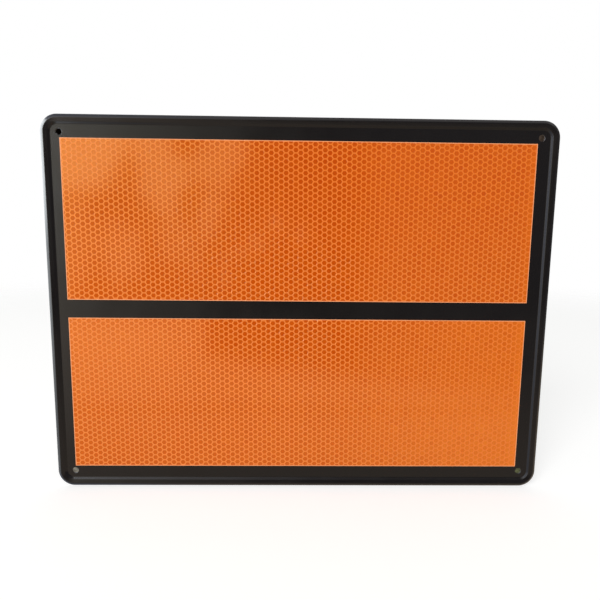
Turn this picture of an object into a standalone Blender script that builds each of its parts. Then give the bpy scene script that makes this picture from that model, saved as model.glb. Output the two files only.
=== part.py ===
"""Dangerous goods warning plate: a formed sheet steel plate in black with two orange reflective sheets stuck on it.

Units are metres and the plate is upright: +X is to the right seen from the front, +Z is up, the front faces -Y.
The origin is the middle of the plate's flat back.
Everything is drawn lying on its back, front side up, and an empty stands it upright at the end.
"""

from math import cos, pi, radians, sin, tan

import bmesh
import bpy

PLATE_WIDTH = 0.400
PLATE_HEIGHT = 0.300
SHEET_GAUGE = 0.0010

# The rim is pressed up towards the front all round, its crest leans inward and its cut edge is turned back.
RIM_HEIGHT = 0.0019
RIM_FOOT_RADIUS = 0.0012
RIM_BEND_RADIUS = 0.0014
RIM_CREST_WIDTH = 0.00235
RIM_CREST_SLOPE = radians(12)
RIM_INNER_SLOPE = radians(42)
RIM_OUTER_SLOPE = radians(40)
RIM_EDGE_CLEARANCE = 0.0001
CUT_EDGE_ROUND = 0.00015
FLAT_CORNER_RADIUS = 0.0055

# Four screw holes stand in the flat border, one in each corner.
HOLE_DIAMETER = 0.0050
HOLE_TO_RIM_SIDE = 0.0039
HOLE_TO_RIM_END = 0.0030
HOLE_TO_SHEET = 0.0019

# Two reflective sheets leave a bare bar between them and a bare border round them.
BAR_HEIGHT = 0.0146
LEFT_STRIP = 0.00705
RIGHT_STRIP = 0.00955
REFLECTIVE_THICKNESS = 0.0004
REFLECTIVE_CORNER_RADIUS = 0.0006
SEAT_GAP = 0.0003

CORNER_STEPS = 10
OUTER_BEND_STEPS = 7
INNER_BEND_STEPS = 4
FOOT_STEPS = 5
SHEET_CORNER_STEPS = 3
CUT_EDGE_STEPS = 2
HOLE_SIDES = 40
CUTTER_OVERRUN = 0.002
SMOOTH_BELOW = radians(35)
CUT_EDGE_ABOVE = radians(60)

BLACK_PAINT = (0.016, 0.015, 0.015, 1.0)
BLACK_ROUGHNESS = 0.38
BLACK_COAT = 0.0
ORANGE_FILM = (0.76, 0.17, 0.03, 1.0)
ORANGE_ROUGHNESS = 0.28
ORANGE_COAT = 0.6


def rim_section():
    """The rim's front surface, from the outer edge inward.

    Each point is the distance in from the plate's outer edge and the height over the plate's front.
    """
    edge_height = RIM_EDGE_CLEARANCE - SHEET_GAUGE * (1 - cos(RIM_OUTER_SLOPE))
    outer_height = RIM_HEIGHT - RIM_BEND_RADIUS
    wall_top = outer_height + RIM_BEND_RADIUS * cos(RIM_OUTER_SLOPE)
    wall_run = (wall_top - edge_height) / tan(RIM_OUTER_SLOPE)
    outer_bend = wall_run + RIM_BEND_RADIUS * sin(RIM_OUTER_SLOPE)
    inner_bend = outer_bend + RIM_CREST_WIDTH * cos(RIM_CREST_SLOPE)
    inner_height = outer_height - RIM_CREST_WIDTH * sin(RIM_CREST_SLOPE)
    slope_top = inner_height + RIM_BEND_RADIUS * cos(RIM_INNER_SLOPE)
    slope_foot = RIM_FOOT_RADIUS * (1 - cos(RIM_INNER_SLOPE))
    slope_run = (slope_top - slope_foot) / tan(RIM_INNER_SLOPE)
    foot = inner_bend + (RIM_BEND_RADIUS + RIM_FOOT_RADIUS) * sin(RIM_INNER_SLOPE) + slope_run
    points = [(0.0, edge_height)]
    for centre, height, start, end, steps in (
        (outer_bend, outer_height, -RIM_OUTER_SLOPE, RIM_CREST_SLOPE, OUTER_BEND_STEPS),
        (inner_bend, inner_height, RIM_CREST_SLOPE, RIM_INNER_SLOPE, INNER_BEND_STEPS),
    ):
        for step in range(steps + 1):
            lean = start + (end - start) * step / steps
            points.append((centre + RIM_BEND_RADIUS * sin(lean), height + RIM_BEND_RADIUS * cos(lean)))
    for step in range(FOOT_STEPS + 1):
        lean = RIM_INNER_SLOPE * (1 - step / FOOT_STEPS)
        points.append((foot - RIM_FOOT_RADIUS * sin(lean), RIM_FOOT_RADIUS * (1 - cos(lean))))
    return points


RIM_SECTION = rim_section()
RIM_WIDTH = RIM_SECTION[-1][0]
OUTER_CORNER_RADIUS = FLAT_CORNER_RADIUS + RIM_WIDTH
HOLE_SIDE_INSET = RIM_WIDTH + HOLE_TO_RIM_SIDE + HOLE_DIAMETER / 2
HOLE_END_INSET = RIM_WIDTH + HOLE_TO_RIM_END + HOLE_DIAMETER / 2
END_BORDER = HOLE_END_INSET + HOLE_DIAMETER / 2 + HOLE_TO_SHEET
SHEET_LEFT = -PLATE_WIDTH / 2 + RIM_WIDTH + LEFT_STRIP
SHEET_RIGHT = PLATE_WIDTH / 2 - RIM_WIDTH - RIGHT_STRIP
SHEET_WIDTH = SHEET_RIGHT - SHEET_LEFT
SHEET_HEIGHT = (PLATE_HEIGHT - 2 * END_BORDER - BAR_HEIGHT) / 2
SHEET_OFFSET = (BAR_HEIGHT + SHEET_HEIGHT) / 2


def new_collection(name):
    """A collection under the scene's own."""
    collection = bpy.data.collections.new(name)
    bpy.context.scene.collection.children.link(collection)
    return collection


def new_material(name, colour, roughness, coat):
    """A Principled material with no bare metal in it."""
    material = bpy.data.materials.new(name)
    material.use_nodes = True
    shader = material.node_tree.nodes["Principled BSDF"]
    shader.inputs["Base Color"].default_value = colour
    shader.inputs["Roughness"].default_value = roughness
    shader.inputs["Metallic"].default_value = 0.0
    shader.inputs["Coat Weight"].default_value = coat
    material.diffuse_color = colour
    return material


def new_object(name, mesh, collection, upright):
    """An object that lies in the plate's own plane and is stood up with it."""
    made = bpy.data.objects.new(name, mesh)
    collection.objects.link(made)
    made.parent = upright
    return made


def rounded_rectangle(model, width, height, radius, steps, level):
    """One flat face with rounded corners, centred on the origin at the level given."""
    bmesh.ops.create_grid(model, x_segments=1, y_segments=1, size=0.5)
    bmesh.ops.scale(model, vec=(width, height, 1.0), verts=model.verts)
    bmesh.ops.translate(model, vec=(0.0, 0.0, level), verts=model.verts)
    bmesh.ops.bevel(
        model,
        geom=model.verts[:],
        offset=radius,
        segments=steps,
        profile=0.5,
        affect="VERTICES",
    )
    return model.faces[:]


def make_plate(collection, cutters, upright):
    """The steel plate: its rim section is carried round the corners by one inset for each step of the section."""
    model = bmesh.new()
    edge_level = SHEET_GAUGE + RIM_SECTION[0][1]
    field = rounded_rectangle(
        model, PLATE_WIDTH, PLATE_HEIGHT, OUTER_CORNER_RADIUS, CORNER_STEPS, edge_level
    )
    for outer, inner in zip(RIM_SECTION, RIM_SECTION[1:]):
        bmesh.ops.inset_region(
            model,
            faces=field,
            thickness=inner[0] - outer[0],
            depth=inner[1] - outer[1],
            use_boundary=True,
            use_even_offset=True,
        )
    mesh = bpy.data.meshes.new("plate")
    model.to_mesh(mesh)
    model.free()
    mesh.shade_smooth()
    mesh.set_sharp_from_angle(angle=SMOOTH_BELOW)
    plate = new_object("plate", mesh, collection, upright)

    gauge = plate.modifiers.new("sheet gauge", "SOLIDIFY")
    gauge.thickness = SHEET_GAUGE
    gauge.offset = -1.0
    gauge.use_even_offset = True

    deburr = plate.modifiers.new("cut edge", "BEVEL")
    deburr.width = CUT_EDGE_ROUND
    deburr.segments = CUT_EDGE_STEPS
    deburr.limit_method = "ANGLE"
    deburr.angle_limit = CUT_EDGE_ABOVE

    punch = plate.modifiers.new("screw holes", "BOOLEAN")
    punch.operation = "DIFFERENCE"
    punch.operand_type = "COLLECTION"
    punch.collection = cutters
    punch.solver = "EXACT"
    return plate


def make_hole_cutters(cutters, upright):
    """One cylinder for each corner's screw hole, through the sheet with some to spare."""
    across = PLATE_WIDTH / 2 - HOLE_SIDE_INSET
    along = PLATE_HEIGHT / 2 - HOLE_END_INSET
    for vertical, end in (("lower", -1), ("upper", 1)):
        for horizontal, side in (("left", -1), ("right", 1)):
            model = bmesh.new()
            bmesh.ops.create_cone(
                model,
                cap_ends=True,
                segments=HOLE_SIDES,
                radius1=HOLE_DIAMETER / 2,
                radius2=HOLE_DIAMETER / 2,
                depth=SHEET_GAUGE + 2 * CUTTER_OVERRUN,
            )
            name = f"{vertical}_{horizontal}_screw_hole"
            mesh = bpy.data.meshes.new(name)
            model.to_mesh(mesh)
            model.free()
            hole = new_object(name, mesh, cutters, upright)
            hole.location = (side * across, end * along, SHEET_GAUGE / 2)
            hole.display_type = "WIRE"
            hole.hide_render = True


def make_reflective_sheet(name, offset, collection, upright):
    """One rectangle of self-adhesive reflective sheeting, seated on the plate's front."""
    model = bmesh.new()
    blank = rounded_rectangle(
        model, SHEET_WIDTH, SHEET_HEIGHT, REFLECTIVE_CORNER_RADIUS, SHEET_CORNER_STEPS, 0.0
    )
    bmesh.ops.reverse_faces(model, faces=blank)
    grown = bmesh.ops.extrude_face_region(model, geom=blank, use_keep_orig=True)
    risen = [part for part in grown["geom"] if isinstance(part, bmesh.types.BMVert)]
    bmesh.ops.translate(model, vec=(0.0, 0.0, REFLECTIVE_THICKNESS), verts=risen)
    bmesh.ops.recalc_face_normals(model, faces=model.faces)
    mesh = bpy.data.meshes.new(name)
    model.to_mesh(mesh)
    model.free()
    sheet = new_object(name, mesh, collection, upright)
    sheet.location = ((SHEET_LEFT + SHEET_RIGHT) / 2, offset, SHEET_GAUGE + SEAT_GAP)
    return sheet


def main():
    for old in list(bpy.data.objects):
        bpy.data.objects.remove(old)
    parts = new_collection("dangerous_goods_warning_plate")
    cutters = new_collection("cutters")
    upright = bpy.data.objects.new("upright", None)
    parts.objects.link(upright)
    upright.rotation_euler = (pi / 2, 0.0, 0.0)

    black = new_material("black_paint", BLACK_PAINT, BLACK_ROUGHNESS, BLACK_COAT)
    orange = new_material("orange_reflective_film", ORANGE_FILM, ORANGE_ROUGHNESS, ORANGE_COAT)

    make_hole_cutters(cutters, upright)
    plate = make_plate(parts, cutters, upright)
    plate.data.materials.append(black)
    for name, offset in (
        ("upper_reflective_sheet", SHEET_OFFSET),
        ("lower_reflective_sheet", -SHEET_OFFSET),
    ):
        sheet = make_reflective_sheet(name, offset, parts, upright)
        sheet.data.materials.append(orange)
    bpy.context.view_layer.update()


main()
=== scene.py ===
"""Looks of the dangerous goods warning plate: black painted steel and two orange reflective sheets.

Metres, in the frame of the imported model: +X right seen from the front, +Z up, the front faces -Y.
"""

import random
from math import cos, pi, radians, sin, sqrt, tan

import bmesh
import bpy
from mathutils import Matrix, Vector


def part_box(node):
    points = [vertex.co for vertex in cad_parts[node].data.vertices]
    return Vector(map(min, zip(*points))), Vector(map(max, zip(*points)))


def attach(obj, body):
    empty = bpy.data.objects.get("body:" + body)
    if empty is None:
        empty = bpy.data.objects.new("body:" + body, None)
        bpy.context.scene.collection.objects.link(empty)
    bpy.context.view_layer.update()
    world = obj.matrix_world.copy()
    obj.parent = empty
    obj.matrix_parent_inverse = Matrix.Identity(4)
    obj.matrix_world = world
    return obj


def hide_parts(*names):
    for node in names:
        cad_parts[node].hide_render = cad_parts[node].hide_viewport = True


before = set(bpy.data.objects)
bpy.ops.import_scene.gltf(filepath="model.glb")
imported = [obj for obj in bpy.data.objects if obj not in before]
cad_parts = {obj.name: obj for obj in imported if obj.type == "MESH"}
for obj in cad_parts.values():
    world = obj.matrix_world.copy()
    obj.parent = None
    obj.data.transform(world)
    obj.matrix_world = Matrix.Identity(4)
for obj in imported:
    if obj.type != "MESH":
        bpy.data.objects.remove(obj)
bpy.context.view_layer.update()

PLATE_LOW, PLATE_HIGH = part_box("plate")

# The formed plate, with its section as pressed. The box reaches only to the rounded cut edge.
SHEET_GAUGE = 0.0010
RIM_HEIGHT = 0.001898
RIM_FOOT_RADIUS = 0.0012
RIM_BEND_RADIUS = 0.0014
RIM_CREST_WIDTH = 0.00235
RIM_CREST_SLOPE = radians(12)
RIM_INNER_SLOPE = radians(42)
RIM_OUTER_SLOPE = radians(40)
RIM_EDGE_CLEARANCE = 0.0001
CUT_EDGE_ROUND = 0.0002
FLAT_CORNER_RADIUS = 0.0055
EDGE_TO_BOX = 0.00006
HOLE_DIAMETER = 0.0050
HOLE_TO_RIM_SIDE = 0.0039
HOLE_TO_RIM_END = 0.0030
HOLE_LIP = 0.00018
LIP_FLAT = 2 * HOLE_LIP
FLAT_MARGIN = 0.0004

CORNER_STEPS = 24
BEND_STEPS = 16
FOOT_STEPS = 14
CUT_EDGE_STEPS = 5
LIP_STEPS = 4
HOLE_SIDES = 48

# The honeycomb of the reflective sheeting.
CELL_PITCH = 0.004356
WALL_WIDTH = 0.00092
CELL_DEPTH = 0.00005
WALL_TAPER = 0.00006
LATTICE_TURN = radians(0.5)
SEALED_EDGE = 0.00055
ADHESIVE_GAP = 0.00003
TONE_SPREAD = 0.06
TONE_LAYER = "cell_tone"
SPARE_CELLS = 3
WELD_DISTANCE = CELL_DEPTH / 10

# The camera, fitted to the edges of the plate, its sheets, bar and holes in the photograph.
CAMERA_PLACE = Vector((-0.01037, -0.46873, 0.08235))
CAMERA_AXIS = Vector((0.02110, 0.98749, -0.15624))
CAMERA_UP = Vector((-0.00804, 0.15644, 0.98765))
FOCAL_PIXELS = 590.62
IMAGE_PIXELS = 600
SENSOR_WIDTH = 36.0
CLIP_START = 0.01


def new_object(name, mesh, *materials):
    made = bpy.data.objects.new(name, mesh)
    bpy.context.scene.collection.objects.link(made)
    for material in materials:
        mesh.materials.append(material)
    return made


def mesh_from(model, name):
    mesh = bpy.data.meshes.new(name)
    model.to_mesh(mesh)
    model.free()
    return mesh


# The Mix node has inputs for levels and for colours side by side, which are told apart by their index.
MIX_FACTOR = 0
FIRST_LEVEL, SECOND_LEVEL, MIXED_LEVEL = 2, 3, 0
FIRST_COLOUR, SECOND_COLOUR, MIXED_COLOUR = 6, 7, 2


class Nodes:
    """A short way to write a material's or the world's nodes."""

    def __init__(self, tree):
        self.tree = tree
        tree.nodes.clear()

    def add(self, kind, inputs=(), **settings):
        node = self.tree.nodes.new(kind)
        for key, value in settings.items():
            setattr(node, key, value)
        for key, value in dict(inputs).items():
            if isinstance(value, bpy.types.NodeSocket):
                self.tree.links.new(value, node.inputs[key])
            else:
                node.inputs[key].default_value = value
        return node

    def place(self):
        """Where the point is in its object."""
        return self.add("ShaderNodeTexCoord").outputs["Object"]

    def part(self, vector, axis):
        """The vector's X, Y or Z."""
        return self.add("ShaderNodeSeparateXYZ", {"Vector": vector}).outputs[axis]

    def length(self, vector):
        return self.add("ShaderNodeVectorMath", {0: vector}, operation="LENGTH").outputs["Value"]

    def math(self, operation, first, second=0.0):
        return self.add("ShaderNodeMath", {0: first, 1: second}, operation=operation).outputs[0]

    def noise(self, place, scale, detail, roughness=0.5):
        """Noise with this many waves to the metre."""
        inputs = {"Vector": place, "Scale": scale, "Detail": detail, "Roughness": roughness}
        return self.add("ShaderNodeTexNoise", inputs).outputs["Fac"]

    def blend(self, factor, first, second):
        """Goes from the first level to the second."""
        inputs = {MIX_FACTOR: factor, FIRST_LEVEL: first, SECOND_LEVEL: second}
        return self.add("ShaderNodeMix", inputs).outputs[MIXED_LEVEL]

    def spread(self, value, low, high, to_low=0.0, to_high=1.0):
        """A soft step from one level to the other as the value goes from low to high."""
        inputs = {
            "Value": value,
            "From Min": low,
            "From Max": high,
            "To Min": to_low,
            "To Max": to_high,
        }
        node = self.add("ShaderNodeMapRange", inputs, interpolation_type="SMOOTHSTEP")
        return node.outputs["Result"]

    def mix(self, factor, first, second, how="MIX"):
        """Goes from the first colour to the second."""
        inputs = {MIX_FACTOR: factor, FIRST_COLOUR: first, SECOND_COLOUR: second}
        node = self.add("ShaderNodeMix", inputs, data_type="RGBA", blend_type=how)
        return node.outputs[MIXED_COLOUR]

    def bump(self, height, strength, distance, normal=None):
        inputs = {"Height": height, "Strength": strength, "Distance": distance}
        if normal is not None:
            inputs["Normal"] = normal
        return self.add("ShaderNodeBump", inputs).outputs["Normal"]


def bare_material(name):
    """A material without nodes as yet."""
    material = bpy.data.materials.new(name)
    material.use_nodes = True
    return material, Nodes(material.node_tree)


def new_material(name):
    """A material with one Principled shader."""
    material, nodes = bare_material(name)
    shader = nodes.add("ShaderNodeBsdfPrincipled")
    output = nodes.add("ShaderNodeOutputMaterial")
    nodes.tree.links.new(shader.outputs[0], output.inputs["Surface"])
    return material, nodes, shader


def wire(nodes, shader, **inputs):
    """Sets or links the shader's inputs, given with underscores for spaces."""
    for key, value in inputs.items():
        socket = shader.inputs[key.replace("_", " ")]
        if isinstance(value, bpy.types.NodeSocket):
            nodes.tree.links.new(value, socket)
        else:
            socket.default_value = value


# Colours of the paint and the film: red, green, blue and alpha.
PAINT_DARK = (0.0054, 0.0045, 0.0048, 1.0)
PAINT_LIGHT = (0.0073, 0.0061, 0.0061, 1.0)
PAINT_DUST = (0.030, 0.028, 0.025, 1.0)
WALL_DARK = (0.775, 0.196, 0.036, 1.0)
WALL_LIGHT = (0.868, 0.235, 0.051, 1.0)
# The walls' colour under the painted haze.
WALL_PAINTED_HAZE = (0.800, 0.167, 0.016, 1.0)
WALL_GLOSS_TINT = (1.0, 0.62, 0.03, 1.0)
CELL_DEEP = (0.640, 0.078, 0.0006, 1.0)
# The cells' paler end, for their own tone and for the painted haze.
CELL_PALE = (0.880, 0.195, 0.0140, 1.0)
CELL_GLOSS_TINT = (0.50, 0.32, 0.04, 1.0)
EDGE_DARK = (0.86, 0.25, 0.07, 1.0)
EDGE_LIGHT = (1.0, 0.46, 0.23, 1.0)
# Painted shade over the film towards the top: the factor at the left and the stronger one at the right.
PAINTED_SHADE_LEFT = (0.93, 0.97, 0.90, 1.0)
PAINTED_SHADE_RIGHT = (0.945, 0.83, 0.54, 1.0)


def black_paint():
    """Satin black baked paint: fine orange peel, a slight unevenness of the sheet, a trace of dust."""
    material, nodes, shader = new_material("black_paint")
    place = nodes.place()
    cloud = nodes.noise(place, scale=28.0, detail=3.0)
    specks = nodes.noise(place, scale=900.0, detail=4.0, roughness=0.7)
    dust = nodes.spread(specks, low=0.70, high=0.78, to_low=0.0, to_high=0.5)
    colour = nodes.mix(dust, nodes.mix(cloud, PAINT_DARK, PAINT_LIGHT), PAINT_DUST)
    rough = nodes.spread(cloud, low=0.3, high=0.7, to_low=0.20, to_high=0.27)
    waves = nodes.bump(nodes.noise(place, scale=14.0, detail=1.0), strength=0.6, distance=0.0004)
    peel = nodes.noise(place, scale=700.0, detail=2.0)
    peel = nodes.bump(peel, strength=0.25, distance=0.00002, normal=waves)
    grain = nodes.noise(place, scale=2600.0, detail=2.0)
    grain = nodes.bump(grain, strength=0.15, distance=0.000005, normal=peel)
    wire(nodes, shader, Base_Color=colour, Roughness=rough, Normal=grain)
    return material


def face_film(nodes, shader, place):
    """The smooth clear film over the honeycomb: a gloss of its own, very slightly uneven."""
    waves = nodes.bump(nodes.noise(place, scale=22.0, detail=2.0), strength=0.3, distance=0.0001)
    wire(nodes, shader, Coat_Weight=1.0, Coat_Roughness=0.07, Coat_IOR=1.45, Coat_Normal=waves)


def painted_haze(nodes, place):
    """A painted haze: how far the film goes towards its paler, flatter colours, not at the left, most at
    the lower right.
    """
    across = nodes.part(place, "X")
    middle = nodes.spread(across, low=-0.090, high=-0.050, to_low=0.0, to_high=0.08)
    right = nodes.spread(across, low=0.020, high=0.070, to_low=0.0, to_high=0.19)
    rim = nodes.spread(across, low=0.172, high=0.183, to_low=0.0, to_high=0.30)
    corner = nodes.spread(across, low=0.060, high=0.160, to_low=0.0, to_high=0.27)
    below_bar = nodes.spread(nodes.part(place, "Z"), low=0.002, high=0.006, to_low=1.0, to_high=0.0)
    corner = nodes.math("MULTIPLY", corner, below_bar)
    return nodes.math("ADD", nodes.math("ADD", middle, right), nodes.math("ADD", corner, rim))


def with_painted_shade(nodes, place, colour):
    """The colour under a painted shade that grows a little darker towards the top, most of all at the
    right.
    """
    rightward = nodes.spread(nodes.part(place, "X"), low=-0.10, high=0.02)
    upward = nodes.spread(nodes.part(place, "Z"), low=-0.02, high=0.12)
    return nodes.mix(upward, colour, nodes.mix(rightward, PAINTED_SHADE_LEFT, PAINTED_SHADE_RIGHT), "MULTIPLY")


def cell_walls():
    """The lighter walls between the cells, paled by the painted haze and darkened by the painted shade.
    """
    material, nodes, shader = new_material("reflective_cell_walls")
    place = nodes.place()
    bright = nodes.mix(nodes.noise(place, scale=1800.0, detail=2.0), WALL_DARK, WALL_LIGHT)
    # Painted haze pales the walls towards the lower right.
    colour = nodes.mix(painted_haze(nodes, place), bright, WALL_PAINTED_HAZE)
    # Painted shade darkens the walls towards the top and right.
    wire(nodes, shader, Base_Color=with_painted_shade(nodes, place, colour), Roughness=0.30)
    wire(nodes, shader, Specular_IOR_Level=0.4, Specular_Tint=WALL_GLOSS_TINT)
    face_film(nodes, shader, place)
    return material


def cell_floors():
    """The beaded floors of the cells: deep orange, each cell a little lighter or darker than the next.

    They mirror more than the walls do, so the honeycomb fades where the film mirrors something bright.
    A painted haze pales them as well, most at the lower right.
    """
    material, nodes, shader = new_material("reflective_cells")
    place = nodes.place()
    own = nodes.add("ShaderNodeAttribute", attribute_name=TONE_LAYER).outputs["Fac"]
    beads = nodes.noise(place, scale=5200.0, detail=2.0)
    beads = nodes.spread(beads, low=0.3, high=0.7, to_low=-0.06, to_high=0.06)
    clumps = nodes.noise(place, scale=1100.0, detail=1.0)
    clumps = nodes.spread(clumps, low=0.3, high=0.7, to_low=-0.09, to_high=0.09)
    # Painted haze is added to each cell's own tone.
    even = nodes.math("ADD", painted_haze(nodes, place), own)
    colour = nodes.mix(nodes.math("ADD", even, nodes.math("ADD", beads, clumps)), CELL_DEEP, CELL_PALE)
    # Painted shade darkens the cells towards the top and right.
    wire(nodes, shader, Base_Color=with_painted_shade(nodes, place, colour), Roughness=0.10)
    wire(nodes, shader, IOR=2.4, Specular_IOR_Level=1.0, Specular_Tint=CELL_GLOSS_TINT)
    face_film(nodes, shader, place)
    return material


def cut_edge():
    """The pale cut edge, where the cells are pressed shut."""
    material, nodes, shader = new_material("reflective_cut_edge")
    place = nodes.place()
    colour = nodes.mix(nodes.noise(place, scale=900.0, detail=3.0), EDGE_DARK, EDGE_LIGHT)
    wire(nodes, shader, Base_Color=colour, Roughness=0.30)
    face_film(nodes, shader, place)
    return material


def normal(lean):
    """The direction at this lean in the rim's section: inward, and forward off the back."""
    return Vector((sin(lean), cos(lean)))


def arc(centre, radius, start, end, steps):
    """Points of the section round a bend's centre, from one lean to another."""
    leans = [start + (end - start) * step / steps for step in range(steps + 1)]
    return [centre + radius * normal(lean) for lean in leans]


def rim_section():
    """The rim's whole section, from the flat's front over the crest and the cut edge to the flat's back.

    Each point is the distance in from the plate's outer edge and the height off the plate's back.
    """
    edge_height = RIM_EDGE_CLEARANCE + SHEET_GAUGE * cos(RIM_OUTER_SLOPE)
    bend_height = SHEET_GAUGE + RIM_HEIGHT - RIM_BEND_RADIUS
    wall_top = bend_height + RIM_BEND_RADIUS * cos(RIM_OUTER_SLOPE)
    wall_run = (wall_top - edge_height) / tan(RIM_OUTER_SLOPE)
    outer_bend = Vector((wall_run + RIM_BEND_RADIUS * sin(RIM_OUTER_SLOPE), bend_height))
    inner_bend = outer_bend + RIM_CREST_WIDTH * Vector((cos(RIM_CREST_SLOPE), -sin(RIM_CREST_SLOPE)))
    slope_top = inner_bend.y + RIM_BEND_RADIUS * cos(RIM_INNER_SLOPE)
    slope_foot = SHEET_GAUGE + RIM_FOOT_RADIUS * (1 - cos(RIM_INNER_SLOPE))
    slope_run = (slope_top - slope_foot) / tan(RIM_INNER_SLOPE)
    inward = (RIM_BEND_RADIUS + RIM_FOOT_RADIUS) * sin(RIM_INNER_SLOPE) + slope_run
    foot = Vector((inner_bend.x + inward, SHEET_GAUGE + RIM_FOOT_RADIUS))

    wall = normal(-RIM_OUTER_SLOPE)
    outward = normal(-RIM_OUTER_SLOPE - pi / 2)
    front_corner = Vector((0.0, edge_height)) - CUT_EDGE_ROUND * (wall + outward)
    back_corner = front_corner - (SHEET_GAUGE - 2 * CUT_EDGE_ROUND) * wall

    front = [foot + Vector((FLAT_MARGIN, -RIM_FOOT_RADIUS))]
    front += arc(foot, -RIM_FOOT_RADIUS, 0.0, RIM_INNER_SLOPE, FOOT_STEPS)
    front += arc(inner_bend, RIM_BEND_RADIUS, RIM_INNER_SLOPE, RIM_CREST_SLOPE, BEND_STEPS)
    front += arc(outer_bend, RIM_BEND_RADIUS, RIM_CREST_SLOPE, -RIM_OUTER_SLOPE, BEND_STEPS)
    turn = -RIM_OUTER_SLOPE - pi / 2
    edge = arc(front_corner, CUT_EDGE_ROUND, -RIM_OUTER_SLOPE, turn, CUT_EDGE_STEPS)
    edge += arc(back_corner, CUT_EDGE_ROUND, turn, -RIM_OUTER_SLOPE - pi, CUT_EDGE_STEPS)
    inside = RIM_BEND_RADIUS - SHEET_GAUGE
    back = arc(outer_bend, inside, -RIM_OUTER_SLOPE, RIM_CREST_SLOPE, BEND_STEPS)
    back += arc(inner_bend, inside, RIM_CREST_SLOPE, RIM_INNER_SLOPE, BEND_STEPS)
    back += arc(foot, -RIM_FOOT_RADIUS - SHEET_GAUGE, RIM_INNER_SLOPE, 0.0, FOOT_STEPS)
    back.append(foot + Vector((FLAT_MARGIN, -RIM_FOOT_RADIUS - SHEET_GAUGE)))
    return front + edge + back, foot.x


def outline_ring(model, inset, height, corner_radius):
    """One turn of vertices round the plate's outline, this far in from the outer edge."""
    half_width = PLATE_HIGH.x + EDGE_TO_BOX - corner_radius
    half_height = PLATE_HIGH.z + EDGE_TO_BOX - corner_radius
    radius = corner_radius - inset
    ring = []
    for quarter, (side, end) in enumerate(((1, 1), (-1, 1), (-1, -1), (1, -1))):
        for step in range(CORNER_STEPS + 1):
            turn = (quarter + step / CORNER_STEPS) * pi / 2
            x = side * half_width + radius * cos(turn)
            z = end * half_height + radius * sin(turn)
            ring.append(model.verts.new((x, -height, z)))
    return ring


def hole_ring(model, centre, radius, height):
    ring = []
    for step in range(HOLE_SIDES):
        turn = 2 * pi * step / HOLE_SIDES
        x = centre[0] + radius * cos(turn)
        z = centre[1] + radius * sin(turn)
        ring.append(model.verts.new((x, -height, z)))
    return ring


def join_rings(model, rings):
    """Faces between each ring and the next."""
    for outer, inner in zip(rings, rings[1:]):
        for index in range(len(outer)):
            following = (index + 1) % len(outer)
            model.faces.new((outer[index], outer[following], inner[following], inner[index]))


def ring_edges(model, ring):
    return [model.edges.get((ring[index - 1], ring[index])) for index in range(len(ring))]


def fill_flat(model, rings):
    """Fills the flat between the rim and the holes."""
    edges = [edge for ring in rings for edge in ring_edges(model, ring)]
    bmesh.ops.triangle_fill(model, use_beauty=True, edges=edges, normal=(0.0, -1.0, 0.0))


def hole_section():
    """A punched hole's wall, from the flat's front to its back, with both lips softened by the paint."""
    radius = HOLE_DIAMETER / 2
    points = [(radius + LIP_FLAT, SHEET_GAUGE)]
    for step in range(LIP_STEPS + 1):
        turn = step / LIP_STEPS * pi / 2
        wide = radius + HOLE_LIP * (1 - sin(turn))
        points.append((wide, SHEET_GAUGE - HOLE_LIP * (1 - cos(turn))))
    lower = [(wide, SHEET_GAUGE - high) for wide, high in reversed(points)]
    return points + lower


def make_plate():
    section, rim_width = rim_section()
    corner_radius = FLAT_CORNER_RADIUS + rim_width
    model = bmesh.new()
    rim = [outline_ring(model, inset, height, corner_radius) for inset, height in section]
    join_rings(model, rim)
    fronts, backs = [rim[0]], [rim[-1]]
    side_inset = rim_width + HOLE_TO_RIM_SIDE + HOLE_DIAMETER / 2 - EDGE_TO_BOX
    end_inset = rim_width + HOLE_TO_RIM_END + HOLE_DIAMETER / 2 - EDGE_TO_BOX
    for side in (-1, 1):
        for end in (-1, 1):
            centre = (side * (PLATE_HIGH.x - side_inset), end * (PLATE_HIGH.z - end_inset))
            rings = [hole_ring(model, centre, radius, height) for radius, height in hole_section()]
            join_rings(model, rings)
            fronts.append(rings[0])
            backs.append(rings[-1])
    fill_flat(model, fronts)
    fill_flat(model, backs)
    bmesh.ops.recalc_face_normals(model, faces=model.faces)
    plate = new_object("formed_plate", mesh_from(model, "formed_plate"), black_paint())
    plate.data.shade_smooth()
    return plate


def hexagon(centre, across_flats, turn):
    """The corners of a hexagon that stands on a flat."""
    reach = across_flats / sqrt(3)
    turns = [turn + corner * pi / 3 for corner in range(6)]
    return [(centre[0] + reach * cos(angle), centre[1] + reach * sin(angle)) for angle in turns]


# The slots follow the order of the materials in dress_sheets; new faces start as walls, in slot 0.
CELL_SLOT = 1
EDGE_SLOT = 2


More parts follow.
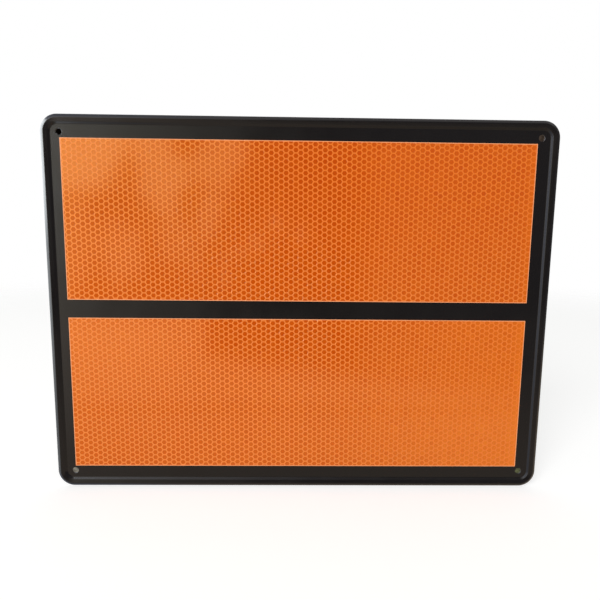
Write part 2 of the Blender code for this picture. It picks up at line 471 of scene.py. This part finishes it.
def honeycomb(width, height, shift, seed):
    """Cells and walls over a rectangle centred on the origin, with some to spare round it."""
    model = bmesh.new()
    tone = model.faces.layers.float.new(TONE_LAYER)
    draw = random.Random(seed)
    column_step = CELL_PITCH * sqrt(3) / 2
    columns = int(width / column_step / 2) + SPARE_CELLS
    rows = int(height / CELL_PITCH / 2) + SPARE_CELLS
    levels = (
        (CELL_PITCH, 0.0),
        (CELL_PITCH - WALL_WIDTH, 0.0),
        (CELL_PITCH - WALL_WIDTH - 2 * WALL_TAPER, CELL_DEPTH),
    )
    for column in range(-columns, columns + 1):
        for row in range(-rows, rows + 1):
            across = column * column_step + shift[0]
            along = (row + 0.5 * (column % 2)) * CELL_PITCH + shift[1]
            centre = (
                across * cos(LATTICE_TURN) - along * sin(LATTICE_TURN),
                across * sin(LATTICE_TURN) + along * cos(LATTICE_TURN),
            )
            rings = []
            for size, depth in levels:
                corners = hexagon(centre, size, LATTICE_TURN)
                rings.append([model.verts.new((x, depth, z)) for x, z in corners])
            join_rings(model, rings)
            floor = model.faces.new(rings[-1])
            floor.material_index = CELL_SLOT
            floor[tone] = draw.gauss(0.0, TONE_SPREAD)
    bmesh.ops.remove_doubles(model, verts=model.verts, dist=WELD_DISTANCE)
    return model


def trim(model, half_width, half_height):
    """Cuts the honeycomb off square at the rectangle's four sides."""
    for side in (Vector((1, 0, 0)), Vector((-1, 0, 0)), Vector((0, 0, 1)), Vector((0, 0, -1))):
        reach = half_width if side.x else half_height
        bmesh.ops.bisect_plane(
            model,
            geom=model.verts[:] + model.edges[:] + model.faces[:],
            plane_co=side * reach,
            plane_no=side,
            clear_outer=True,
        )


def grow_border(model, edges):
    """Pulls new faces off the open edges and returns their outer vertices and edges."""
    grown = bmesh.ops.extrude_edge_only(model, edges=edges)["geom"]
    for part in grown:
        if isinstance(part, bmesh.types.BMFace):
            part.material_index = EDGE_SLOT
    verts = [part for part in grown if isinstance(part, bmesh.types.BMVert)]
    outer = [part for part in grown if isinstance(part, bmesh.types.BMEdge) and part.is_boundary]
    return verts, outer


def make_reflective_sheet(name, node, shift, seed, materials):
    """Honeycomb sheeting cut to the node's rectangle, down to the plate's face."""
    low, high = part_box(node)
    centre = (low + high) / 2
    half_width = (high.x - low.x) / 2
    half_height = (high.z - low.z) / 2
    model = honeycomb(2 * half_width, 2 * half_height, shift, seed)
    inner_width = half_width - SEALED_EDGE
    inner_height = half_height - SEALED_EDGE
    trim(model, inner_width, inner_height)

    open_edges = [edge for edge in model.edges if edge.is_boundary]
    verts, outer = grow_border(model, open_edges)
    for vert in verts:
        vert.co = (vert.co.x * half_width / inner_width, 0.0, vert.co.z * half_height / inner_height)
    verts, outer = grow_border(model, outer)
    thickness = -SHEET_GAUGE - ADHESIVE_GAP - low.y
    for vert in verts:
        vert.co.y = thickness
    back = bmesh.ops.contextual_create(model, geom=outer)["faces"]
    for face in back:
        face.material_index = EDGE_SLOT
    bmesh.ops.recalc_face_normals(model, faces=model.faces)
    bmesh.ops.translate(model, vec=(centre.x, low.y, centre.z), verts=model.verts)
    return new_object(name, mesh_from(model, name), *materials)


def dress_plate():
    plate = make_plate()
    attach(plate, "root")
    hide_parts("plate")


# Each sheet's name, the node that it replaces, the shift of its cells and the seed of their tones.
HONEYCOMB_SHEETS = (
    ("upper_honeycomb_sheet", "upper_reflective_sheet", (0.0007, 0.0011), 3),
    ("lower_honeycomb_sheet", "lower_reflective_sheet", (-0.0013, 0.0004), 8),
)


def dress_sheets():
    materials = (cell_walls(), cell_floors(), cut_edge())
    for name, node, shift, seed in HONEYCOMB_SHEETS:
        sheet = make_reflective_sheet(name, node, shift, seed, materials)
        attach(sheet, "root")
        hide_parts(node)


FLOOR_COLOUR = (0.62, 0.62, 0.61, 1.0)
FLOOR_LIFT = 0.5
FLOOR_DROP = 0.0006
FLOOR_RADIUS = 1.6
FLOOR_FADE = 0.7
FLOOR_SIDES = 96


def make_floor():
    """A pale floor that thins out into the white room round it, and keeps the plate's soft shadow."""
    material, nodes = bare_material("pale_floor")
    reach = nodes.length(nodes.place())
    seen = nodes.add("ShaderNodeLightPath").outputs["Is Camera Ray"]
    plain = nodes.add("ShaderNodeBsdfDiffuse", {"Color": FLOOR_COLOUR})
    lift = nodes.add("ShaderNodeEmission", {"Strength": nodes.math("MULTIPLY", seen, FLOOR_LIFT)})
    lit = nodes.add("ShaderNodeAddShader", {0: plain.outputs[0], 1: lift.outputs[0]})
    clear = nodes.add("ShaderNodeBsdfTransparent")
    thin = nodes.spread(reach, low=FLOOR_RADIUS - FLOOR_FADE, high=FLOOR_RADIUS)
    faded = nodes.add("ShaderNodeMixShader", {0: thin, 1: lit.outputs[0], 2: clear.outputs[0]})
    nodes.add("ShaderNodeOutputMaterial", {"Surface": faded.outputs[0]})
    model = bmesh.new()
    bmesh.ops.create_circle(model, cap_ends=True, segments=FLOOR_SIDES, radius=FLOOR_RADIUS)
    floor = new_object("pale_floor", mesh_from(model, "pale_floor"), material)
    floor.location = (0.0, 0.0, PLATE_LOW.z - FLOOR_DROP)
    floor.visible_glossy = False


BACKING_INSET = 0.006
BACKING_GAP = 0.0003
# Painted light and shade of the glowing backing, corner by corner: near black at the upper left, lighter
# below.
BACKING_UPPER_LEFT = (0.002, 0.0015, 0.001, 1.0)
BACKING_UPPER_RIGHT = (0.048, 0.034, 0.025, 1.0)
BACKING_LOWER_LEFT = (0.200, 0.185, 0.150, 1.0)
BACKING_LOWER_RIGHT = (0.095, 0.100, 0.050, 1.0)


def make_painted_light_backing():
    """What the plate is fixed to, a glowing card seen from the front through its screw holes, never from
    behind.
    """
    # The card glows in painted light and shade; it is no lamp.
    material, nodes = bare_material("painted_light_backing")
    place = nodes.place()
    rightward = nodes.spread(nodes.part(place, "X"), low=-0.19, high=0.19)
    upward = nodes.spread(nodes.part(place, "Z"), low=-0.14, high=0.14)
    upper = nodes.mix(rightward, BACKING_UPPER_LEFT, BACKING_UPPER_RIGHT)
    lower = nodes.mix(rightward, BACKING_LOWER_LEFT, BACKING_LOWER_RIGHT)
    # A painted mottle of brightness over the backing.
    painted_mottle = nodes.noise(place, scale=420.0, detail=2.0)
    painted_mottle = nodes.spread(painted_mottle, low=0.35, high=0.65, to_low=0.55, to_high=1.25)
    colour = nodes.mix(upward, lower, upper)
    glow = nodes.add("ShaderNodeEmission", {"Color": colour, "Strength": painted_mottle})
    clear = nodes.add("ShaderNodeBsdfTransparent")
    behind = nodes.add("ShaderNodeNewGeometry").outputs["Backfacing"]
    shown = nodes.add("ShaderNodeMixShader", {0: behind, 1: glow.outputs[0], 2: clear.outputs[0]})
    nodes.add("ShaderNodeOutputMaterial", {"Surface": shown.outputs[0]})
    model = bmesh.new()
    bmesh.ops.create_grid(model, x_segments=1, y_segments=1, size=1.0)
    wide = PLATE_HIGH.x - BACKING_INSET
    high = PLATE_HIGH.z - BACKING_INSET
    bmesh.ops.transform(model, matrix=Matrix.Diagonal((wide, high, 1.0, 1.0)), verts=model.verts)
    bmesh.ops.transform(model, matrix=Matrix.Rotation(pi / 2, 4, "X"), verts=model.verts)
    backing = new_object("painted_light_backing", mesh_from(model, "painted_light_backing"), material)
    backing.location = (0.0, BACKING_GAP, 0.0)
    backing.visible_diffuse = False
    backing.visible_glossy = False
    backing.visible_shadow = False


# Colours of what is mirrored: red, green, blue and alpha.
GROUND_TINT = (1.0, 0.82, 0.64, 1.0)
GARDEN_TINT = (1.0, 0.94, 0.76, 1.0)
INDOOR_TINT = (1.0, 0.94, 0.98, 1.0)
GLINT_TINT = (1.25, 0.88, 0.35, 1.0)
WINDOW_TINT = (0.90, 0.96, 1.13, 1.0)
GLARE_TINT = (0.94, 0.99, 1.02, 1.0)
CEILING_TINT = (1.0, 0.96, 0.97, 1.0)

# Soft spots in the mirrored room: across, height, half width, half height and level.
LEAF_GAPS = (
    (-0.212, 0.055, 0.042, 0.085, 0.80),
    (-0.116, 0.075, 0.044, 0.070, 0.58),
    (-0.134, -0.015, 0.024, 0.055, 0.60),
    (-0.282, -0.078, 0.044, 0.055, 0.50),
    (-0.195, -0.055, 0.036, 0.040, 0.38),
    (-0.350, -0.065, 0.020, 0.075, 0.36),
    (-0.157, -0.105, 0.014, 0.035, 0.30),
)
GLINTS = (
    (-0.019, -0.026, 0.015, 0.020, 0.60),
    (0.020, -0.044, 0.011, 0.020, 0.65),
    (-0.052, -0.061, 0.018, 0.016, 0.55),
    (-0.081, -0.077, 0.013, 0.012, 0.45),
    (-0.108, -0.108, 0.011, 0.034, 0.35),
)

# Levels and edges in the mirrored room. A pair of values is where an edge starts and where it ends.
LEAF_LEVEL = 0.10
PANE_LEVEL = 1.25
PANE_SLANT = 0.6
SEAM_DROP = 0.354
DARK_LEVEL = 0.036
WALL_LEVEL = 0.12
UNDERFOOT_LEVEL = 0.36
HORIZON = (-0.19, -0.17)
DARK_SIDE = (-0.148, -0.134)
DARK_SIDE_BEND = -0.08
DARK_SIDE_LEAN = 0.45
DARK_FOOT = (-0.30, -0.262)
DARK_FOOT_SLOPES = (0.10, 0.09)
LEAST_FRONT = 0.3


def soft_spots(nodes, across, height, spots):
    """Soft light spots with wavering edges."""
    place = nodes.add("ShaderNodeCombineXYZ", {0: across, 1: height}).outputs[0]
    waver = nodes.noise(place, scale=16.0, detail=2.0)
    waver = nodes.spread(waver, low=0.3, high=0.7, to_low=-0.30, to_high=0.30)
    total = 0.0
    for spot_across, spot_height, half_width, half_height, level in spots:
        sideways = nodes.math("DIVIDE", nodes.math("SUBTRACT", across, spot_across), half_width)
        upward = nodes.math("DIVIDE", nodes.math("SUBTRACT", height, spot_height), half_height)
        offset = nodes.add("ShaderNodeCombineXYZ", {0: sideways, 1: upward}).outputs[0]
        reach = nodes.math("ADD", nodes.length(offset), waver)
        spot = nodes.spread(reach, low=0.65, high=1.15, to_low=level, to_high=0.0)
        total = nodes.math("MAXIMUM", total, spot)
    return total


def outdoors(nodes, across, height):
    """The view above the ground: light gaps among leaves, and a bright patch in the upper left."""
    leaves = nodes.math("ADD", soft_spots(nodes, across, height, LEAF_GAPS), LEAF_LEVEL)
    slant = nodes.math("SUBTRACT", across, nodes.math("MULTIPLY", height, PANE_SLANT))
    side = nodes.spread(slant, low=-0.345, high=-0.295, to_low=1.0, to_high=0.0)
    pane = nodes.math("MULTIPLY", side, nodes.spread(height, low=0.000, high=0.045))
    return nodes.blend(pane, leaves, PANE_LEVEL)


def ground(nodes, across, height):
    """The pale ground, brighter towards the horizon and near the left, with a thin seam across it."""
    level = nodes.spread(height, low=-0.46, high=-0.22, to_low=0.46, to_high=0.60)
    left = nodes.spread(across, low=-0.30, high=-0.12, to_low=0.33, to_high=0.0)
    left = nodes.math("MULTIPLY", left, nodes.spread(height, low=-0.45, high=-0.20))
    right = nodes.spread(across, low=0.10, high=0.35, to_low=0.0, to_high=0.03)
    level = nodes.math("ADD", level, nodes.math("ADD", left, right))
    off_seam = nodes.math("ABSOLUTE", nodes.math("ADD", height, SEAM_DROP))
    seam = nodes.spread(off_seam, low=0.003, high=0.014, to_low=0.50, to_high=1.0)
    return nodes.math("MULTIPLY", level, seam)


def dark_part(nodes, across, height):
    """Where the room is dark: right of a side that leans from a bend on, and above a sloping foot."""
    above_bend = nodes.math("MAXIMUM", nodes.math("ADD", height, -DARK_SIDE_BEND), 0.0)
    lean = nodes.math("MULTIPLY", above_bend, DARK_SIDE_LEAN)
    side = nodes.spread(nodes.math("SUBTRACT", across, lean), *DARK_SIDE)
    low_slope, high_slope = DARK_FOOT_SLOPES
    lowest = nodes.math("SUBTRACT", DARK_FOOT[0], nodes.math("MULTIPLY", across, low_slope))
    sloped = nodes.math("ADD", height, nodes.math("MULTIPLY", across, high_slope))
    return nodes.math("MULTIPLY", side, nodes.spread(sloped, low=lowest, high=DARK_FOOT[1]))


def indoors(nodes, across, height, glints):
    """The dark of the room with its glints, and a dim wall at the right."""
    dark = nodes.math("MAXIMUM", glints, DARK_LEVEL)
    level = nodes.blend(nodes.spread(across, low=0.11, high=0.17), dark, WALL_LEVEL)
    return nodes.math("ADD", level, nodes.spread(height, low=-0.12, high=0.10, to_low=0.0, to_high=0.04))


def beside(nodes, across, up):
    """The large window at the left, and the wall farther to the left of it."""
    window = nodes.spread(up, low=-0.44, high=-0.02, to_low=0.56, to_high=1.78)
    wall = nodes.spread(up, low=-0.40, high=0.10, to_low=0.65, to_high=1.35)
    return nodes.blend(nodes.spread(across, low=-1.20, high=-0.60, to_low=1.0, to_high=0.0), window, wall)


def overhead(nodes, right, away):
    """The ceiling, first in front of the plate and then straight over it."""
    front = nodes.spread(right, low=-0.45, high=0.12, to_low=1.75, to_high=0.22)
    over = nodes.spread(right, low=-0.40, high=0.40, to_low=0.75, to_high=0.60)
    return nodes.blend(nodes.spread(away, low=-0.35, high=-0.10), front, over)


def underfoot(nodes, right, away):
    """The foreground, first in front of the plate and then straight under it."""
    front = nodes.spread(right, low=-0.32, high=0.32, to_low=0.55, to_high=0.38)
    return nodes.blend(nodes.spread(away, low=-0.10, high=0.10), front, UNDERFOOT_LEVEL)


def mirrored_room(nodes):
    """How bright the room is in each direction, for what is seen in the plate's gloss, and its tint.

    The plate faces a dim room with a large window at the left and pale ground below. Across and height
    are the slopes of the direction off the plate's face.
    """
    toward = nodes.add("ShaderNodeTexCoord").outputs["Generated"]
    right, away, up = (nodes.part(toward, axis) for axis in "XYZ")
    front = nodes.math("MAXIMUM", nodes.math("MULTIPLY", away, -1.0), LEAST_FRONT)
    across = nodes.math("DIVIDE", right, front)
    height = nodes.math("DIVIDE", up, front)

    above_ground = nodes.spread(height, *HORIZON)
    view = nodes.blend(above_ground, ground(nodes, across, height), outdoors(nodes, across, height))
    dark = dark_part(nodes, across, height)
    glints = soft_spots(nodes, across, height, GLINTS)
    view = nodes.blend(dark, view, indoors(nodes, across, height, glints))
    leftward = nodes.spread(across, low=-0.43, high=-0.35, to_low=1.0, to_high=0.0)
    view = nodes.blend(leftward, view, beside(nodes, across, up))
    view = nodes.blend(nodes.spread(up, low=0.50, high=0.70), view, overhead(nodes, right, away))
    downward = nodes.spread(up, low=-0.70, high=-0.55, to_low=1.0, to_high=0.0)
    view = nodes.blend(downward, view, underfoot(nodes, right, away))

    tint = nodes.mix(above_ground, GROUND_TINT, GARDEN_TINT)
    tint = nodes.mix(dark, tint, nodes.mix(glints, INDOOR_TINT, GLINT_TINT))
    tint = nodes.mix(nodes.spread(height, low=0.20, high=0.60), tint, CEILING_TINT)
    far_left = nodes.spread(across, low=-0.90, high=-0.45, to_low=1.0, to_high=0.0)
    return view, nodes.mix(far_left, tint, WINDOW_TINT)


WHITE = (1.0, 1.0, 1.0, 1.0)
EVEN_LIGHT = 0.5


def make_world():
    """White for the camera, an even light for dull surfaces and the mirrored room for the gloss."""
    world = bpy.data.worlds.new("studio")
    bpy.context.scene.world = world
    world.use_nodes = True
    world.cycles.sampling_method = "NONE"
    nodes = Nodes(world.node_tree)
    path = nodes.add("ShaderNodeLightPath")
    soft = nodes.add("ShaderNodeBackground", {"Color": WHITE, "Strength": EVEN_LIGHT})
    level, tint = mirrored_room(nodes)
    gloss = nodes.add("ShaderNodeBackground", {"Color": tint, "Strength": level})
    white = nodes.add("ShaderNodeBackground", {"Color": WHITE, "Strength": 1.0})
    glossy = path.outputs["Is Glossy Ray"]
    light = nodes.add("ShaderNodeMixShader", {0: glossy, 1: soft.outputs[0], 2: gloss.outputs[0]})
    seen = nodes.math("MAXIMUM", path.outputs["Is Camera Ray"], path.outputs["Is Transmission Ray"])
    whole = nodes.add("ShaderNodeMixShader", {0: seen, 1: light.outputs[0], 2: white.outputs[0]})
    nodes.add("ShaderNodeOutputWorld", {"Surface": whole.outputs[0]})


WINDOW_DISTANCE = 0.10
WINDOW_FRONT = -0.13
WINDOW_BACK = 0.12
WINDOW_BOTTOM = -0.20
WINDOW_TOP = 0.22


def make_window():
    """The window close by the plate's left edge, brighter higher up and towards the front.

    Only the plate's gloss sees it.
    """
    material, nodes = bare_material("window_glare")
    place = nodes.place()
    up = nodes.part(place, "Z")
    low = nodes.spread(up, low=-0.14, high=0.03, to_low=0.9, to_high=2.1)
    high = nodes.spread(up, low=0.03, high=0.11, to_low=0.0, to_high=4.6)
    front = nodes.spread(nodes.part(place, "Y"), low=-0.06, high=-0.01, to_low=2.2, to_high=1.0)
    strength = nodes.math("MULTIPLY", nodes.math("ADD", low, high), front)
    glow = nodes.add("ShaderNodeEmission", {"Color": GLARE_TINT, "Strength": strength})
    nodes.add("ShaderNodeOutputMaterial", {"Surface": glow.outputs[0]})
    model = bmesh.new()
    left = PLATE_LOW.x - WINDOW_DISTANCE
    corners = (
        (left, WINDOW_FRONT, WINDOW_BOTTOM),
        (left, WINDOW_BACK, WINDOW_BOTTOM),
        (left, WINDOW_BACK, WINDOW_TOP),
        (left, WINDOW_FRONT, WINDOW_TOP),
    )
    model.faces.new([model.verts.new(corner) for corner in corners])
    window = new_object("window_glare", mesh_from(model, "window_glare"), material)
    window.visible_camera = False
    window.visible_diffuse = False
    window.visible_transmission = False
    window.visible_shadow = False


KEY_PLACE = Vector((-1.2, -2.9, 1.9))
KEY_SIZE = 2.2
KEY_POWER = 101.0


def make_key_light():
    """A large soft lamp up at the left, aimed at the plate's middle and not mirrored in it."""
    lamp = bpy.data.lights.new("key_light", "AREA")
    lamp.shape = "DISK"
    lamp.size = KEY_SIZE
    lamp.energy = KEY_POWER
    made = bpy.data.objects.new("key_light", lamp)
    bpy.context.scene.collection.objects.link(made)
    made.location = KEY_PLACE
    made.rotation_mode = "QUATERNION"
    made.rotation_quaternion = (-KEY_PLACE).to_track_quat("-Z", "Y")
    made.visible_glossy = False


def make_camera():
    camera = bpy.data.cameras.new("camera")
    camera.sensor_width = SENSOR_WIDTH
    camera.lens = SENSOR_WIDTH * FOCAL_PIXELS / IMAGE_PIXELS
    camera.clip_start = CLIP_START
    made = bpy.data.objects.new("camera", camera)
    bpy.context.scene.collection.objects.link(made)
    back = -CAMERA_AXIS.normalized()
    right = CAMERA_UP.cross(back).normalized()
    up = back.cross(right)
    turn = Matrix((right, up, back)).transposed().to_4x4()
    made.matrix_world = Matrix.Translation(CAMERA_PLACE) @ turn
    bpy.context.scene.camera = made


make_camera()
dress_plate()
dress_sheets()
make_floor()
make_painted_light_backing()
make_world()
make_window()
make_key_light()

bpy.context.scene.view_settings.view_transform = "Standard"
